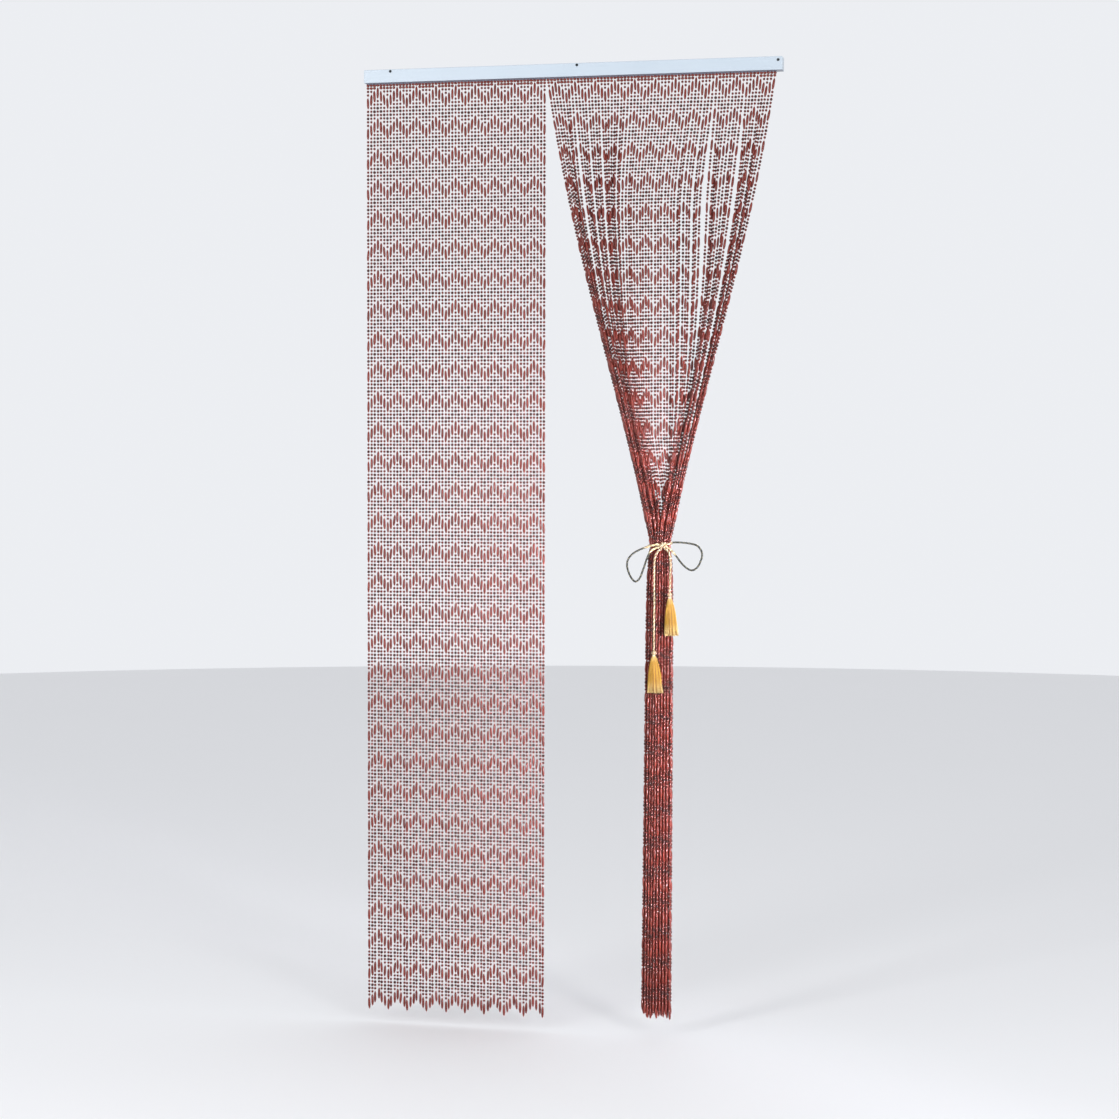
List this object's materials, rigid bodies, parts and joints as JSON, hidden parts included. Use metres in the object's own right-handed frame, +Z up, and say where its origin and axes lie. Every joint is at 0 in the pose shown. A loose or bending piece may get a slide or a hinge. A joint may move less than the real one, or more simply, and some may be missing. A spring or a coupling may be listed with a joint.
{
  "type": "bead curtain with rail",
  "caption": "Doorway bead curtain on a batten rail: one panel hangs straight, the other is swept into a bundle by a cord tied in a bow with tasselled ends.",
  "frame": {"origin": "middle of the rail's flat back face", "axes": "+X along the rail to the right as seen from the front, +Y into the wall behind the rail, +Z up"},
  "size_m": [0.9, 0.0599, 2.0318],
  "materials": {
    "painted_batten": "white satin paint",
    "screw_steel": "dark, dull",
    "stained_beads": "red-brown stain under clear lacquer",
    "twisted_cord": "twisted cream and dark yarn",
    "tassel_yarn": "golden silky yarn"
  },
  "bodies": {
    "root": {"rail": "painted_batten", "screw_left": "screw_steel", "screw_middle": "screw_steel", "screw_right": "screw_steel", "panel_left": "stained_beads", "panel_right": "stained_beads", "tie_wrap": "twisted_cord", "bow_knot": "twisted_cord", "bow_loop_left": "twisted_cord", "bow_loop_right": "twisted_cord", "tail_left": "twisted_cord", "tail_right": "twisted_cord", "tassel_left": "tassel_yarn", "tassel_right": "tassel_yarn"}
  },
  "joints": []
}
